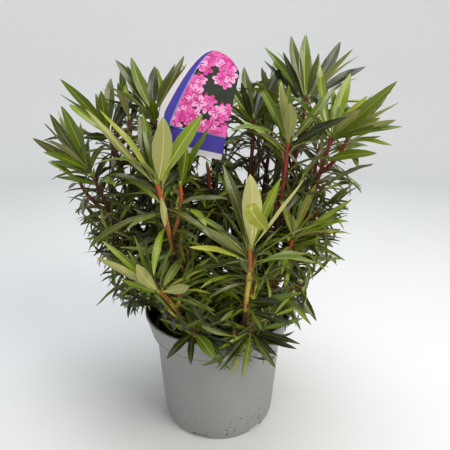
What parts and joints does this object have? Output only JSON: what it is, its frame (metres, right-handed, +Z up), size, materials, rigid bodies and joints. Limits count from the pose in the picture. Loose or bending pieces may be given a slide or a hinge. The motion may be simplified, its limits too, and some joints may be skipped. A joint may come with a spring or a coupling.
{
  "type": "potted rhododendron",
  "caption": "Young bushy shrub with narrow evergreen leaves in whorls, in a round grey nursery pot with a picture label on a stick.",
  "frame": {"origin": "middle of the pot's flat underside, on the surface that the pot stands on", "axes": "+Z up through the pot and the shrub, -Y towards the front that the label faces, +X to the right of someone who looks at that front"},
  "size_m": [0.4701, 0.3847, 0.5556],
  "materials": {
    "pot_plastic": "matte moulded",
    "potting_soil": "rough, crumbly",
    "old_bark": "rough bark",
    "young_bark": "smooth young bark",
    "foliage": "waxy leaf",
    "printed_card": "printed, semi-gloss",
    "black_plastic": "satin"
  },
  "bodies": {
    "root": {"pot": "pot_plastic", "soil": "potting_soil", "label_card": "printed_card", "label_stick": "black_plastic", "stem_foot": "old_bark", "bough_front_left": "young_bark", "bough_front_right": "young_bark", "bough_front_left_low": "young_bark", "bough_front_right_low": "young_bark", "bough_front_low": "young_bark", "bough_upper_right": "young_bark", "bough_right": "young_bark", "bough_right_inner": "young_bark", "bough_right_low": "young_bark", "bough_right_skirt": "young_bark", "bough_upper_centre": "young_bark", "bough_upper_left": "young_bark", "bough_left": "young_bark", "bough_far_left": "young_bark", "bough_left_low": "young_bark", "bough_left_skirt": "young_bark", "bough_centre": "young_bark", "bough_back_left": "young_bark", "bough_back": "young_bark", "bough_back_right": "young_bark", "bough_back_low_left": "young_bark", "bough_back_low": "young_bark", "bough_back_low_right": "young_bark", "foliage_front_left": "foliage", "foliage_front_right": "foliage", "foliage_front_left_low": "foliage", "foliage_front_right_low": "foliage", "foliage_front_low": "foliage", "foliage_upper_right": "foliage", "foliage_right": "foliage", "foliage_right_inner": "foliage", "foliage_right_low": "foliage", "foliage_right_skirt": "foliage", "foliage_upper_centre": "foliage", "foliage_upper_left": "foliage", "foliage_left": "foliage", "foliage_far_left": "foliage", "foliage_left_low": "foliage", "foliage_left_skirt": "foliage", "foliage_centre": "foliage", "foliage_back_left": "foliage", "foliage_back": "foliage", "foliage_back_right": "foliage", "foliage_back_low_left": "foliage", "foliage_back_low": "foliage", "foliage_back_low_right": "foliage"}
  },
  "joints": []
}
